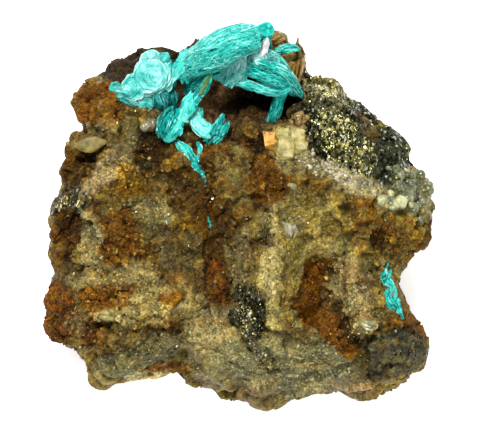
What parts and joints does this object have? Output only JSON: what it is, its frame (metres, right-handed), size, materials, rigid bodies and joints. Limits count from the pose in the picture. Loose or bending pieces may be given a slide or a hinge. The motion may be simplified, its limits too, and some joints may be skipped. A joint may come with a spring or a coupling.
{
  "type": "mineral specimen",
  "caption": "Loose mineral specimen: arched books of thin plate crystals over a dark hollow in a broken lump of iron-stained quartz with metallic sulphide.",
  "frame": {"origin": "middle of the bounding box in X and Y, on the flat broken face that it rests on", "axes": "+Z out of the crystal side, towards a viewer looking at the crystals; +Y towards the edge of the lump where the crystals grow; +X to the right of that view"},
  "size_m": [0.0428, 0.0426, 0.0207],
  "materials": {
    "rock": "rough broken quartz, iron stained, with metallic grains",
    "turquoise_crystal": "pearly striated plates",
    "pale_crystal": "pearly plates with bright edges"
  },
  "bodies": {
    "root": {"matrix": "rock", "arch": "turquoise_crystal", "rosette": "pale_crystal", "curl": "pale_crystal", "sprig": "turquoise_crystal", "edge_film": "turquoise_crystal", "flake": "turquoise_crystal"}
  },
  "joints": []
}
